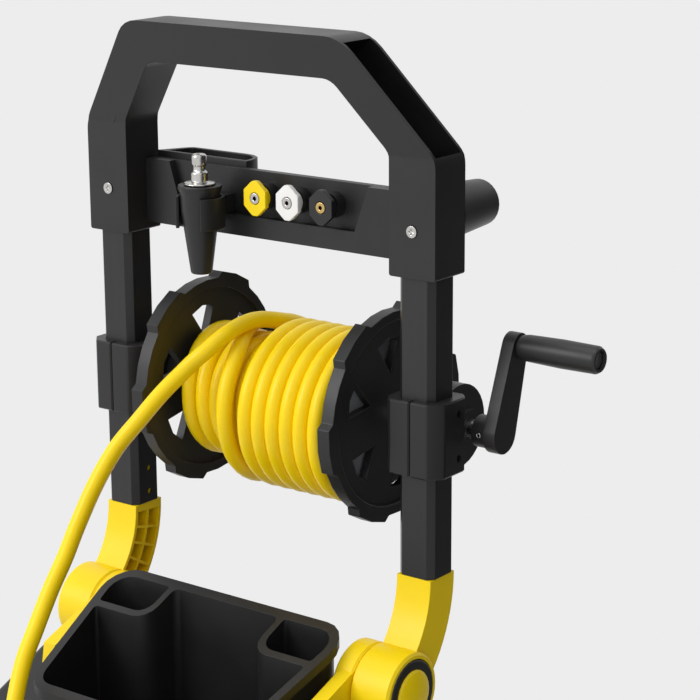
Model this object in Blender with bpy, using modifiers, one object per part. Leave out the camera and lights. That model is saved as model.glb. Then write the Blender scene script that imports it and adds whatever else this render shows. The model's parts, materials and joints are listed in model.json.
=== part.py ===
"""Pressure-washer trolley with a hose reel between its handle posts.

Metres, +Z up, +X to the crank's side, -Y to the front. The design is laid out in the
cart's own axes: X = 0 midway between the posts, Y = 0 on the posts' centre plane and
Z = 0 on the floor. One empty, cart_frame, then moves everything so that the origin is
under the middle of the cart's box.
"""

import math

import bmesh
import bpy
from mathutils import Matrix, Vector

MM = 0.001
GAP = 0.3 * MM                      # clearance that every fitted pair keeps

# Driving sizes of the handle frame
FOOT_Z = 470 * MM                   # bottom of the posts above the floor
POST_X = 155.5 * MM                 # post centre from the middle
POST_HALF = (16.9 * MM, 16.4 * MM)  # half width and half depth of a post
POST_CHAMFER = 5.3 * MM
POST_WALL = 2.0 * MM
POST_TOP = FOOT_Z + 330 * MM
SLEEVE_Z = FOOT_Z + 242 * MM        # lower end of the handle's sleeves
SLEEVE_IN, SLEEVE_OUT = 134 * MM, 177 * MM
SHOULDER_Z = FOOT_Z + 335 * MM      # where the handle starts to slant and lean
HANDLE_TOP = FOOT_Z + 424.5 * MM
GRIP_UNDER = FOOT_Z + 391 * MM
HANDLE_DEPTH = 40 * MM
LEAN = math.tan(math.radians(17))   # forward lean of the handle above its shoulders
SCREW_Z = FOOT_Z + 278.5 * MM

# Driving sizes of the reel
REEL_Y = 33.5 * MM
REEL_Z = FOOT_Z + 114.2 * MM
FLANGE_R, LUG_R = 85 * MM, 90 * MM
FLANGE_IN, FLANGE_OUT = 91 * MM, 103 * MM
DRUM_R = 32 * MM
COIL_DROP = 8.7 * MM                # the wound hose hangs on the drum, below the reel's axis
HOSE_D = 14 * MM
INNER_LAYER_R = 55.2 * MM           # outside of the lower hose layer
OUTER_LAYER_R = 71.5 * MM           # outside of the upper hose layer
LAYER_STEP_X = -26 * MM             # where the upper layer ends
COIL_HALF = 88.5 * MM
SHAFT_R = 8 * MM
CRANK_R = 70 * MM
CRANK_TILT = math.radians(17.4)     # crank leans back from the vertical

# Driving sizes of the fold hub and the lower body
HUB_Y = -47.3 * MM
HUB_Z = FOOT_Z - 83.3 * MM
HUB_R = 33.5 * MM
ARM_IN, ARM_OUT = 139 * MM, 171.5 * MM
HUB_OUT = 176 * MM
KNUCKLE_IN = 121.5 * MM
ARM_CURVE = 98 * MM                 # radius of the arm's centre line
BODY_HALF = 165 * MM
BODY_FRONT, BODY_BACK = -212 * MM, 25 * MM
BODY_FLOOR = 42 * MM
BIN_SLOPE = 0.418                   # the bin's rim drops forward by this
BIN_BACK, BIN_FRONT = -54 * MM, -192 * MM
BIN_BACK_HALF, BIN_FRONT_HALF = 126.5 * MM, 104 * MM
BIN_RIM_Z = FOOT_Z - 38.5 * MM      # rim height at its back edge
BIN_FLOOR_Z = FOOT_Z - 215 * MM
WHEEL_R, WHEEL_W = 105 * MM, 42 * MM
AXLE_Y = 12 * MM
WHEEL_X = 192 * MM
AXLE_R = 6 * MM

# The cart's box runs from the left wheel to the crank grip, and from the front to the wheels
GRIP_END = 279 * MM
HUBCAP_X = WHEEL_X + WHEEL_W / 2 + 6 * MM
SWITCH_FRONT = BODY_FRONT - 16 * MM
FRAME_SHIFT = Vector((
    (HUBCAP_X - GRIP_END) / 2,
    -(SWITCH_FRONT + AXLE_Y + WHEEL_R) / 2,
    0))

COLOURS = {                         # base colour, roughness, metallic
    "satin_black_plastic": ((0.022, 0.022, 0.023), 0.45, 0.0),
    "black_aluminium": ((0.020, 0.020, 0.021), 0.32, 0.6),
    "yellow_plastic": ((0.95, 0.74, 0.02), 0.42, 0.0),
    "yellow_hose": ((0.95, 0.74, 0.01), 0.38, 0.0),
    "bright_steel": ((0.62, 0.62, 0.62), 0.25, 1.0),
    "white_plastic": ((0.85, 0.85, 0.83), 0.4, 0.0),
    "grey_plastic": ((0.55, 0.56, 0.58), 0.5, 0.0),
    "black_rubber": ((0.015, 0.015, 0.015), 0.8, 0.0),
    "brass": ((0.70, 0.50, 0.22), 0.3, 1.0),
}


# ---------------------------------------------------------------- scene and helpers

for old in list(bpy.data.objects):
    bpy.data.objects.remove(old, do_unlink=True)

PARTS = bpy.data.collections.new("hose_reel_cart")
bpy.context.scene.collection.children.link(PARTS)
MATERIALS = {}


def material(name):
    if name not in MATERIALS:
        colour, roughness, metallic = COLOURS[name]
        made = bpy.data.materials.new(name)
        made.use_nodes = True
        shader = made.node_tree.nodes["Principled BSDF"]
        shader.inputs["Base Color"].default_value = (*colour, 1)
        shader.inputs["Roughness"].default_value = roughness
        shader.inputs["Metallic"].default_value = metallic
        MATERIALS[name] = made
    return MATERIALS[name]


def add(name, mesh):
    made = bpy.data.objects.new(name, mesh)
    PARTS.objects.link(made)
    return made


def from_bmesh(name, bm):
    bmesh.ops.recalc_face_normals(bm, faces=bm.faces)
    mesh = bpy.data.meshes.new(name)
    bm.to_mesh(mesh)
    bm.free()
    return add(name, mesh)


def evaluated_mesh(piece):
    graph = bpy.context.evaluated_depsgraph_get()
    return bpy.data.meshes.new_from_object(piece.evaluated_get(graph))


def bake(piece):
    """Keep the evaluated mesh in place of the modifiers."""
    piece.data = evaluated_mesh(piece)
    piece.modifiers.clear()
    return piece


def combine(piece, other, operation):
    boolean = piece.modifiers.new(operation, "BOOLEAN")
    boolean.operation = operation
    boolean.object = other
    bake(piece)
    bpy.data.objects.remove(other, do_unlink=True)
    return piece


def cut(piece, *tools):
    for tool in tools:
        combine(piece, tool, "DIFFERENCE")
    return piece


def join(piece, *others):
    for other in others:
        combine(piece, other, "UNION")
    return piece


def bevel(piece, width, segments=2, angle=40):
    rounding = piece.modifiers.new("bevel", "BEVEL")
    rounding.width = width
    rounding.segments = segments
    rounding.limit_method = "ANGLE"
    rounding.angle_limit = math.radians(angle)
    bake(piece)
    bm = bmesh.new()
    bm.from_mesh(piece.data)
    bmesh.ops.triangulate(bm, faces=[face for face in bm.faces if len(face.verts) == 4])
    bm.to_mesh(piece.data)
    bm.free()
    return piece


def box(name, low, high):
    bm = bmesh.new()
    size = [b - a for a, b in zip(low, high)]
    middle = [(a + b) / 2 for a, b in zip(low, high)]
    place = Matrix.Translation(middle) @ Matrix.Diagonal((*size, 1))
    bmesh.ops.create_cube(bm, size=1, matrix=place)
    return from_bmesh(name, bm)


AXIS_TURN = {
    "X": Matrix.Rotation(math.pi / 2, 4, "Y"),
    "Y": Matrix.Rotation(-math.pi / 2, 4, "X"),
    "Z": Matrix.Identity(4),
}


def cylinder(name, axis, start, length, radius, end_radius=None, sides=32):
    """A cylinder or cone that runs from start along +axis."""
    bm = bmesh.new()
    place = Matrix.Translation(start) @ AXIS_TURN[axis] @ Matrix.Translation((0, 0, length / 2))
    bmesh.ops.create_cone(
        bm, cap_ends=True, segments=sides, radius1=radius,
        radius2=radius if end_radius is None else end_radius, depth=length, matrix=place)
    return from_bmesh(name, bm)


def turned(name, axis, origin, profile, sides=48):
    """A closed profile of (radius, height) points turned about an axis through origin."""
    bm = bmesh.new()
    rim = [bm.verts.new((radius, 0, height)) for radius, height in profile]
    for one, two in zip(rim, rim[1:] + rim[:1]):
        if one.co.x > 1e-6 or two.co.x > 1e-6:
            bm.edges.new((one, two))
    mesh = bpy.data.meshes.new(name)
    bm.to_mesh(mesh)
    bm.free()
    piece = add(name, mesh)
    screw = piece.modifiers.new("screw", "SCREW")
    screw.steps = screw.render_steps = sides
    screw.use_merge_vertices = True
    screw.merge_threshold = 0.00001
    bake(piece)
    bm = bmesh.new()
    bm.from_mesh(piece.data)
    bmesh.ops.remove_doubles(bm, verts=bm.verts, dist=0.00001)
    bmesh.ops.recalc_face_normals(bm, faces=bm.faces)
    bm.to_mesh(piece.data)
    bm.free()
    piece.data.transform(Matrix.Translation(origin) @ AXIS_TURN[axis])
    return piece


PLANES = {                          # plane: where a flat outline's x, y and thickness go
    "YZ": Matrix(((0, 0, 1, 0), (1, 0, 0, 0), (0, 1, 0, 0), (0, 0, 0, 1))),
    "XZ": Matrix(((1, 0, 0, 0), (0, 0, -1, 0), (0, 1, 0, 0), (0, 0, 0, 1))),
    "XY": Matrix.Identity(4),
}


def plate(name, plane, outline, low, high):
    """A flat outline made solid from low to high along its plane's normal axis."""
    curve = bpy.data.curves.new(name, "CURVE")
    curve.dimensions = "2D"
    curve.fill_mode = "BOTH"
    curve.extrude = (high - low) / 2
    spline = curve.splines.new("POLY")
    spline.points.add(len(outline) - 1)
    for point, (x, y) in zip(spline.points, outline):
        point.co = (x, y, 0, 1)
    spline.use_cyclic_u = True
    drawn = add(name + "_outline", curve)
    mesh = evaluated_mesh(drawn)
    bpy.data.objects.remove(drawn, do_unlink=True)
    normal = {"YZ": (1, 0, 0), "XZ": (0, 1, 0), "XY": (0, 0, 1)}[plane]
    mesh.transform(Matrix.Translation(Vector(normal) * (low + high) / 2) @ PLANES[plane])
    bm = bmesh.new()
    bm.from_mesh(mesh)
    bmesh.ops.remove_doubles(bm, verts=bm.verts, dist=0.000001)
    return from_bmesh(name, bm)


def arc(centre, radius, start, end, steps):
    """Points along an arc, angles in degrees from the outline's first axis."""
    angles = [math.radians(start + (end - start) * i / steps) for i in range(steps + 1)]
    return [(centre[0] + radius * math.cos(a), centre[1] + radius * math.sin(a)) for a in angles]


def rounded(corners, steps=4):
    """An outline with its corners rounded; each corner is (x, y, radius)."""
    points = []
    for i, (x, y, radius) in enumerate(corners):
        here = Vector((x, y))
        if radius <= 0:
            points.append((x, y))
            continue
        before = (Vector(corners[i - 1][:2]) - here).normalized()
        after = (Vector(corners[(i + 1) % len(corners)][:2]) - here).normalized()
        half = before.angle(after) / 2
        reach = radius / math.tan(half)
        middle = here + (before + after).normalized() * radius / math.sin(half)
        first = here + before * reach - middle
        last = here + after * reach - middle
        sweep = first.angle_signed(last)
        for k in range(steps + 1):
            turn = Matrix.Rotation(-sweep * k / steps, 2)
            points.append(tuple(middle + turn @ first))
    return points


def mirror(name, piece):
    """The other side's copy, with its own mesh."""
    mesh = piece.data.copy()
    mesh.transform(Matrix.Scale(-1, 4, (1, 0, 0)))
    mesh.flip_normals()
    return add(name, mesh)


def finish(piece, slot, group):
    """Give a finished solid its material, its shading and its moving group."""
    piece.data.materials.clear()
    piece.data.materials.append(material(slot))
    piece.data.shade_smooth()
    piece.data.set_sharp_from_angle(angle=math.radians(35))
    piece.parent = group
    piece.matrix_parent_inverse = group.matrix_world.inverted()
    return piece


def group(name, place, parent=None):
    """An empty on a joint's axis that carries the pieces moving together."""
    made = bpy.data.objects.new(name, None)
    PARTS.objects.link(made)
    made.location = place
    bpy.context.view_layer.update()
    if parent:
        made.parent = parent
        made.matrix_parent_inverse = parent.matrix_world.inverted()
    return made


# ---------------------------------------------------------------- moving groups

FRAME = group("cart_frame", (0, 0, 0))
HANDLE = group("handle", (0, HUB_Y, HUB_Z), FRAME)
REEL = group("reel", (0, REEL_Y, REEL_Z), HANDLE)
GRIP_Y = REEL_Y + CRANK_R * math.sin(CRANK_TILT)
GRIP_Z = REEL_Z + CRANK_R * math.cos(CRANK_TILT)
CRANK_GRIP = group("crank_grip_spin", (GRIP_END, GRIP_Y, GRIP_Z), REEL)


# ---------------------------------------------------------------- handle frame

def post_outline(grow=0.0):
    half_x, half_y = POST_HALF[0] + grow, POST_HALF[1] + grow
    c = POST_CHAMFER + grow * 0.4
    return [
        (half_x - c, -half_y), (half_x, c - half_y), (half_x, half_y - c), (half_x - c, half_y),
        (c - half_x, half_y), (-half_x, half_y - c), (-half_x, c - half_y), (c - half_x, -half_y)]


def post_column(name, x, grow, low, high):
    outline = [(x + px, py) for px, py in post_outline(grow)]
    return plate(name, "XY", outline, low, high)


def post(name, side):
    tube = post_column(name, side * POST_X, 0, FOOT_Z + GAP, POST_TOP)
    cut(tube, post_column("bore", side * POST_X, -POST_WALL, FOOT_Z - 1 * MM, POST_TOP + 1 * MM))
    inner = side * (POST_X - POST_HALF[0])
    for z in (9.6 * MM, 30.5 * MM):
        start = min(inner - 4 * MM, inner + 4 * MM)
        cut(tube, cylinder("hole", "X", (start, 1.8 * MM, FOOT_Z + z), 8 * MM, 2.6 * MM, sides=12))
    return finish(tube, "black_aluminium", HANDLE)


def handle_outline():
    half = [
        (SLEEVE_IN, SLEEVE_Z, 2 * MM), (SLEEVE_OUT, SLEEVE_Z, 2 * MM),
        (SLEEVE_OUT, SHOULDER_Z, 24 * MM), (108 * MM, HANDLE_TOP, 28 * MM)]
    inside = [(92 * MM, GRIP_UNDER, 16 * MM), (SLEEVE_IN, SHOULDER_Z + 2 * MM, 15 * MM)]
    left = [(-x, z, r) for x, z, r in reversed(half)]
    left_inside = [(-x, z, r) for x, z, r in reversed(inside)]
    return rounded(half + left + left_inside + inside)


def handle_grip():
    """The moulded U: two sleeves, slanted channels open outwards, and the grip bar."""
    moulding = plate("handle_grip", "XZ", handle_outline(), -HANDLE_DEPTH / 2, HANDLE_DEPTH / 2)
    bevel(moulding, 5 * MM, segments=1)
    slant = Vector((SLEEVE_OUT - 108 * MM, SHOULDER_Z - HANDLE_TOP)).normalized()
    outward = Vector((-slant.y, slant.x))
    top = Vector((108 * MM, HANDLE_TOP)) + slant * 4 * MM
    low = Vector((SLEEVE_OUT, SHOULDER_Z)) - slant * 2 * MM
    channel = [top + outward * 8 * MM, top - outward * 24 * MM,
               low - outward * 24 * MM, low + outward * 8 * MM]
    wall = HANDLE_DEPTH / 2 - 3 * MM
    for side in (1, -1):
        outline = [(side * p.x, p.y) for p in channel]
        cut(moulding, plate("channel", "XZ", outline, -wall, wall))
    for vertex in moulding.data.vertices:
        vertex.co.y -= LEAN * max(0.0, vertex.co.z - SHOULDER_Z)
    for side in (1, -1):
        socket = post_column(
            "socket", side * POST_X, GAP, SLEEVE_Z - 2 * MM, POST_TOP + GAP)
        screw_hole = cylinder(
            "screw_hole", "Y", (side * POST_X, -HANDLE_DEPTH / 2 - 1 * MM, SCREW_Z),
            3 * MM, 5.2 * MM, sides=24)
        cut(moulding, socket, screw_hole)
    return finish(moulding, "satin_black_plastic", HANDLE)


def handle_screw(name, side):
    """Pan-head screw in the sleeve's counterbore, with a cross recess."""
    x = side * POST_X
    y = -HANDLE_DEPTH / 2
    screw = cylinder(name, "Y", (x, y - 1 * MM, SCREW_Z), 2.7 * MM, 4.8 * MM, sides=20)
    for half in ((2.4 * MM, 0.6 * MM), (0.6 * MM, 2.4 * MM)):
        cut(screw, box("slot", (x - half[0], y - 3 * MM, SCREW_Z - half[1]),
                       (x + half[0], y + 0.4 * MM, SCREW_Z + half[1])))
    return finish(screw, "bright_steel", HANDLE)


PANEL_LOW, PANEL_TOP = FOOT_Z + 249 * MM, FOOT_Z + 303 * MM
PANEL_FRONT, PANEL_BACK = 3 * MM, 17 * MM
RECESS_Y = 10 * MM
NOZZLE_X = {"yellow": -6 * MM, "white": 27 * MM, "black": 60.5 * MM}
NOZZLE_Z = FOOT_Z + 284.5 * MM
TURBO_X, TURBO_Y = -52 * MM, -23 * MM


def cross_panel():
    """Nozzle board between the sleeves, with a shallow recess and a socket per nozzle."""
    end = SLEEVE_IN - GAP
    panel = box("cross_panel", (-end, PANEL_FRONT, PANEL_LOW), (end, PANEL_BACK, PANEL_TOP))
    recess = [(-108 * MM, PANEL_TOP + 2 * MM), (-96 * MM, FOOT_Z + 266 * MM),
              (84 * MM, FOOT_Z + 266 * MM), (98 * MM, PANEL_TOP + 2 * MM)]
    cut(panel, plate("recess", "XZ", recess, PANEL_FRONT - 2 * MM, RECESS_Y))
    for x in NOZZLE_X.values():
        join(panel, cylinder("cup", "Y", (x, 0, NOZZLE_Z), RECESS_Y + 1 * MM, 10.5 * MM, sides=20))
    for x in NOZZLE_X.values():
        cut(panel, cylinder("socket", "Y", (x, -5 * MM, NOZZLE_Z), 40 * MM, 6.4 * MM, sides=16))
    return finish(panel, "satin_black_plastic", HANDLE)


def gun_rest():
    """Shallow tray behind the panel where a spray gun lies."""
    low, high = FOOT_Z + 282 * MM, FOOT_Z + 308 * MM
    outline = rounded([
        (-133 * MM, PANEL_BACK + GAP, 0), (-36 * MM, PANEL_BACK + GAP, 0),
        (-36 * MM, 46 * MM, 22 * MM), (-118 * MM, 46 * MM, 8 * MM)])
    tray = plate("gun_rest", "XY", outline, low, high)
    inside = rounded([
        (-125 * MM, PANEL_BACK + 4 * MM, 0), (-40 * MM, PANEL_BACK + 4 * MM, 0),
        (-40 * MM, 42 * MM, 18 * MM), (-116 * MM, 42 * MM, 5 * MM)])
    cut(tray, plate("hollow", "XY", inside, low + 4 * MM, high + 5 * MM))
    return finish(tray, "satin_black_plastic", HANDLE)


def lance_holder():
    """Tapered socket behind the right sleeve that takes the lance."""
    start = (POST_X, HANDLE_DEPTH / 2 + GAP, FOOT_Z + 287 * MM)
    length = 52 * MM
    holder = cylinder("lance_holder", "Y", start, length, 22 * MM, 18.5 * MM, sides=28)
    mouth = (start[0], start[1] + 6 * MM, start[2])
    cut(holder, cylinder("mouth", "Y", mouth, length, 16 * MM, 15.5 * MM, sides=24))
    return finish(holder, "satin_black_plastic", HANDLE)


def nozzle_clip():
    """Spring clip with two curved arms round the turbo nozzle."""
    low, high = FOOT_Z + 258 * MM, FOOT_Z + 284 * MM
    centre = (TURBO_X, TURBO_Y)
    inner, outer = 17.2 * MM, 20.2 * MM
    ring = arc(centre, outer, -50, 230, 20) + arc(centre, inner, 230, -50, 20)
    clip = plate("nozzle_clip", "XY", ring, low, high)
    stem = box("stem", (TURBO_X - 9 * MM, TURBO_Y + 18.5 * MM, FOOT_Z + 266.5 * MM),
               (TURBO_X + 9 * MM, RECESS_Y - GAP, high - 2 * MM))
    join(clip, stem)
    return finish(clip, "satin_black_plastic", HANDLE)


def turbo_nozzle(carrier):
    """Rotating-jet nozzle: a tapered shell hung in the clip, and its quick-connect plug."""
    place = (TURBO_X, TURBO_Y, 0)
    rim_z = FOOT_Z + 293 * MM
    low = FOOT_Z + 220 * MM
    shell = turned("turbo_nozzle_shell", "Z", place, [
        (7.0 * MM, rim_z), (18.0 * MM, rim_z), (18.0 * MM, rim_z - 3 * MM),
        (16.4 * MM, rim_z - 6 * MM), (15.8 * MM, rim_z - 20 * MM),
        (8.8 * MM, low + 1 * MM), (7.8 * MM, low), (3.0 * MM, low), (3.0 * MM, low + 10 * MM),
        (7.0 * MM, low + 14 * MM)], sides=28)
    finish(shell, "satin_black_plastic", carrier)
    plug = turned("turbo_nozzle_plug", "Z", place, [
        (6.7 * MM, rim_z - 28 * MM), (6.7 * MM, rim_z + GAP), (13 * MM, rim_z + GAP),
        (13 * MM, rim_z + 2 * MM), (7 * MM, rim_z + 3 * MM), (7 * MM, rim_z + 10 * MM),
        (5 * MM, rim_z + 12 * MM), (5 * MM, rim_z + 15 * MM), (6.3 * MM, rim_z + 17 * MM),
        (6.3 * MM, rim_z + 23 * MM), (5.2 * MM, rim_z + 25 * MM), (2.5 * MM, rim_z + 25 * MM),
        (2.5 * MM, rim_z - 28 * MM)], sides=18)
    finish(plug, "bright_steel", carrier)


def spray_nozzle(colour, slot, x, carrier):
    """Quick-connect nozzle: a plastic colour plate with ears on a metal plug."""
    plate_front, plate_back = -10 * MM, -5.5 * MM
    ear = 1.6 * MM
    half, shoulder, tip = 11.2 * MM, 6.5 * MM, 12.6 * MM
    outline = [
        (half, shoulder), (4.5 * MM, tip), (2.4 * MM, tip + ear), (-2.4 * MM, tip + ear),
        (-4.5 * MM, tip), (-half, shoulder), (-half, -shoulder), (-4.5 * MM, -tip),
        (-2.4 * MM, -tip - ear), (2.4 * MM, -tip - ear), (4.5 * MM, -tip), (half, -shoulder)]
    placed = [(x + px, NOZZLE_Z + pz) for px, pz in outline]
    collar = plate("nozzle_" + colour, "XZ", placed, plate_front, plate_back)
    neck = cylinder("neck", "Y", (x, plate_back - 1 * MM, NOZZLE_Z), 5.7 * MM, 9.5 * MM, sides=20)
    join(collar, neck)
    bore = cylinder("bore", "Y", (x, plate_front - 2 * MM, NOZZLE_Z), 20 * MM, 5 * MM, sides=16)
    cut(collar, bore)
    finish(collar, slot, carrier)
    plug = turned("nozzle_" + colour + "_plug", "Y", (x, 0, NOZZLE_Z), [
        (4.7 * MM, plate_front - 0.4 * MM), (4.7 * MM, 0.0), (6.0 * MM, 1 * MM),
        (6.0 * MM, 9 * MM), (5.0 * MM, 10.5 * MM), (5.0 * MM, 13.5 * MM), (6.0 * MM, 15 * MM),
        (6.0 * MM, 22 * MM), (1.6 * MM, 22 * MM), (1.6 * MM, plate_front - 0.4 * MM)], sides=16)
    finish(plug, "brass" if colour == "black" else "bright_steel", carrier)


# ---------------------------------------------------------------- reel clamps

CLAMP_LOW, CLAMP_TOP = FOOT_Z + 85 * MM, FOOT_Z + 145.5 * MM
CLAMP_SPLIT = POST_X


def clamp_half(name, outer):
    """One half of the right-hand clamp: a block round the post and a disc on the shaft."""
    near, far = (CLAMP_SPLIT + GAP, 182 * MM) if outer else (129 * MM, CLAMP_SPLIT - GAP)
    chamfer = 10 * MM
    if outer:
        outline = [(near, -24 * MM), (far - chamfer, -24 * MM), (far, -13 * MM),
                   (far, 14 * MM), (far - 6 * MM, 22 * MM), (near, 22 * MM)]
    else:
        outline = [(far, -24 * MM), (far, 22 * MM), (near + 6 * MM, 22 * MM),
                   (near, 14 * MM), (near, -15 * MM), (near + 8 * MM, -24 * MM)]
    half = plate(name, "XY", outline, CLAMP_LOW, CLAMP_TOP)
    bevel(half, 1.2 * MM, segments=1)
    disc = (near, 165 * MM) if outer else (128 * MM, far)
    join(half, cylinder("disc", "X", (disc[0], REEL_Y, REEL_Z), disc[1] - disc[0], 34 * MM,
                        sides=32))
    if outer:
        boss = cylinder("boss", "X", (160 * MM, REEL_Y, REEL_Z), 14.5 * MM, 15.3 * MM, sides=24)
    else:
        boss = cylinder("boss", "X", (113 * MM, REEL_Y, REEL_Z), 20 * MM, 18 * MM, sides=24)
    join(half, boss)
    post_hole = post_column("post_hole", POST_X, GAP, CLAMP_LOW - 2 * MM, CLAMP_TOP + 2 * MM)
    bore = cylinder("bore", "X", (100 * MM, REEL_Y, REEL_Z), 100 * MM, SHAFT_R + GAP, sides=20)
    cut(half, post_hole, bore)
    if outer:
        for z in (-18 * MM, 18 * MM):
            hole = cylinder("hole", "X", (172.8 * MM, 6.5 * MM, (CLAMP_LOW + CLAMP_TOP) / 2 + z),
                            20 * MM, 3.1 * MM, sides=12)
            cut(half, hole)
    return half


def clamps():
    for name, outer in (("clamp_inner", False), ("clamp_outer", True)):
        right = clamp_half(name + "_right", outer)
        left = mirror(name + "_left", right)
        finish(right, "satin_black_plastic", HANDLE)
        finish(left, "satin_black_plastic", HANDLE)


def swivel_inlet():
    """Fixed half of the rotary water joint outside the left clamp, with its hose stub."""
    start = (-204 * MM, REEL_Y, REEL_Z)
    inlet = cylinder("swivel_inlet", "X", start, 29 * MM, 11 * MM, sides=24)
    stub = cylinder("stub", "Z", (-190 * MM, REEL_Y, REEL_Z - 34 * MM), 30 * MM, 9 * MM, sides=20)
    join(inlet, stub)
    seat = cylinder("seat", "X", (-186 * MM, REEL_Y, REEL_Z), 20 * MM, SHAFT_R + GAP, sides=24)
    way = cylinder("way", "Z", (-190 * MM, REEL_Y, REEL_Z - 36 * MM), 36 * MM, 3.5 * MM, sides=12)
    cut(inlet, seat, way)
    return finish(inlet, "brass", HANDLE)


# ---------------------------------------------------------------- reel

LUGS = 6
LUG_START = math.radians(8)
LUG_HALF_ANGLE = math.radians(12)


def polar(radius, angle):
    return REEL_Y + radius * math.cos(angle), REEL_Z + radius * math.sin(angle)


def flange(name, side):
    """Reel side plate: a raised rim, six lugs and six windows between broad spokes."""
    low, high = sorted((side * FLANGE_IN, side * FLANGE_OUT))
    disc = cylinder(name, "X", (low + 2 * MM, REEL_Y, REEL_Z), high - low - 4 * MM, 84 * MM,
                    sides=48)
    outline = []
    for k in range(LUGS):
        middle = LUG_START + k * math.tau / LUGS
        for step in (-1.25, -1, 0, 1, 1.25):
            radius = LUG_R if abs(step) <= 1 else FLANGE_R
            outline.append(polar(radius, middle + step * LUG_HALF_ANGLE))
        gap = math.tau / LUGS - 2.5 * LUG_HALF_ANGLE
        for step in (1, 2):
            outline.append(polar(FLANGE_R, middle + 1.25 * LUG_HALF_ANGLE + gap * step / 3))
    rim = plate("rim", "YZ", outline, low, high)
    cut(rim, cylinder("inside", "X", (low - 1 * MM, REEL_Y, REEL_Z), 20 * MM, 77 * MM, sides=40))
    join(disc, rim)
    for k in range(LUGS):
        middle = LUG_START + (k + 0.5) * math.tau / LUGS
        window = [polar(34 * MM, middle), polar(62 * MM, middle + math.radians(13)),
                  polar(64 * MM, middle), polar(62 * MM, middle - math.radians(13))]
        cut(disc, plate("window", "YZ", window, low - 2 * MM, high + 2 * MM))
    bore = cylinder("bore", "X", (low - 2 * MM, REEL_Y, REEL_Z), 20 * MM, SHAFT_R + GAP, sides=24)
    cut(disc, bore)
    return finish(disc, "satin_black_plastic", REEL)


def drum():
    """Hollow winding drum between the flanges, with a side disc behind the right one."""
    half = FLANGE_IN + 1.7 * MM
    disc_r, disc_in, disc_out = 66 * MM, COIL_HALF + GAP, FLANGE_IN - GAP
    wall = [(DRUM_R, half), (DRUM_R, disc_out), (disc_r, disc_out), (disc_r, disc_in),
            (DRUM_R, disc_in), (DRUM_R, -half), (DRUM_R - 4 * MM, -half),
            (DRUM_R - 4 * MM, half)]
    return finish(turned("drum", "X", (0, REEL_Y, REEL_Z), wall, sides=32), "grey_plastic", REEL)


def shaft():
    """Hollow reel shaft from the rotary water joint to the crank."""
    left, right = -185.5 * MM, 200 * MM
    bar = turned("reel_shaft", "X", (0, REEL_Y, REEL_Z), [
        (SHAFT_R, right), (SHAFT_R, left), (3.5 * MM, left), (3.5 * MM, 60 * MM),
        (0, 62 * MM), (0, right)], sides=20)
    pin_hole = cylinder("pin_hole", "Y", (PIN_X, REEL_Y - 20 * MM, REEL_Z), 40 * MM,
                        PIN_R + GAP, sides=16)
    return finish(cut(bar, pin_hole), "bright_steel", REEL)


PIN_X, PIN_R = 190.5 * MM, 2.2 * MM


def crank_arm():
    """Crank: a hub on the shaft's end and a tapered lever up to the grip."""
    up = math.pi / 2 - CRANK_TILT
    spread = math.asin((15.5 - 11) / (CRANK_R / MM))
    up_degrees = math.degrees(up)
    spread_degrees = math.degrees(spread)
    outline = arc((REEL_Y, REEL_Z), 15.5 * MM, up_degrees + 90 - spread_degrees,
                  up_degrees + 270 + spread_degrees, 16)
    outline += arc((GRIP_Y, GRIP_Z), 11 * MM, up_degrees - 90 + spread_degrees,
                   up_degrees + 90 - spread_degrees, 12)
    lever = plate("crank_arm", "YZ", outline, 196 * MM, 207 * MM)
    bevel(lever, 1.5 * MM, segments=1, angle=50)
    grip_hole = cylinder("grip_hole", "X", (190 * MM, GRIP_Y, GRIP_Z), 30 * MM, 4 * MM + GAP,
                         sides=16)
    cut(lever, grip_hole)
    join(lever, cylinder("hub", "X", (183.5 * MM, REEL_Y, REEL_Z), 14 * MM, 13 * MM))
    seat = cylinder("seat", "X", (180 * MM, REEL_Y, REEL_Z), 20 * MM + GAP, SHAFT_R + GAP, sides=24)
    pin_hole = cylinder("pin_hole", "Y", (PIN_X, REEL_Y - 20 * MM, REEL_Z), 40 * MM,
                        PIN_R + GAP, sides=16)
    cut(lever, seat, pin_hole)
    return finish(lever, "satin_black_plastic", REEL)


def crank_pins():
    roll_pin = turned("roll_pin", "Y", (PIN_X, REEL_Y, REEL_Z), [
        (PIN_R, 13.4 * MM), (PIN_R, -13.4 * MM), (1.1 * MM, -13.4 * MM), (1.1 * MM, 13.4 * MM)],
        sides=16)
    finish(roll_pin, "bright_steel", REEL)
    grip_pin = turned("grip_pin", "X", (0, GRIP_Y, GRIP_Z), [
        (0, 276 * MM), (7 * MM, 276 * MM), (7 * MM, 273 * MM), (4 * MM, 273 * MM),
        (4 * MM, 196.5 * MM), (0, 196.5 * MM)], sides=20)
    finish(grip_pin, "bright_steel", REEL)


def crank_grip():
    grip = turned("crank_grip", "X", (0, GRIP_Y, GRIP_Z), [
        (9.2 * MM, GRIP_END), (11 * MM, 276 * MM), (11.4 * MM, 245 * MM), (10.6 * MM, 214 * MM),
        (9.5 * MM, 208 * MM), (4.5 * MM, 208 * MM), (4.5 * MM, 272.5 * MM),
        (7.6 * MM, 272.5 * MM), (7.6 * MM, GRIP_END)], sides=24)
    return finish(grip, "satin_black_plastic", CRANK_GRIP)


def hose_coil():
    """Outer shape of the hose wound on the drum: a short lower and a long upper layer."""
    inside = DRUM_R + COIL_DROP + GAP
    ring = turned("hose_coil", "X", (0, REEL_Y, REEL_Z - COIL_DROP), [
        (OUTER_LAYER_R, COIL_HALF), (OUTER_LAYER_R, LAYER_STEP_X),
        (INNER_LAYER_R, LAYER_STEP_X - 4 * MM), (INNER_LAYER_R, -COIL_HALF),
        (inside, -COIL_HALF), (inside, COIL_HALF)], sides=36)
    return finish(ring, "yellow_hose", REEL)


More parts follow.
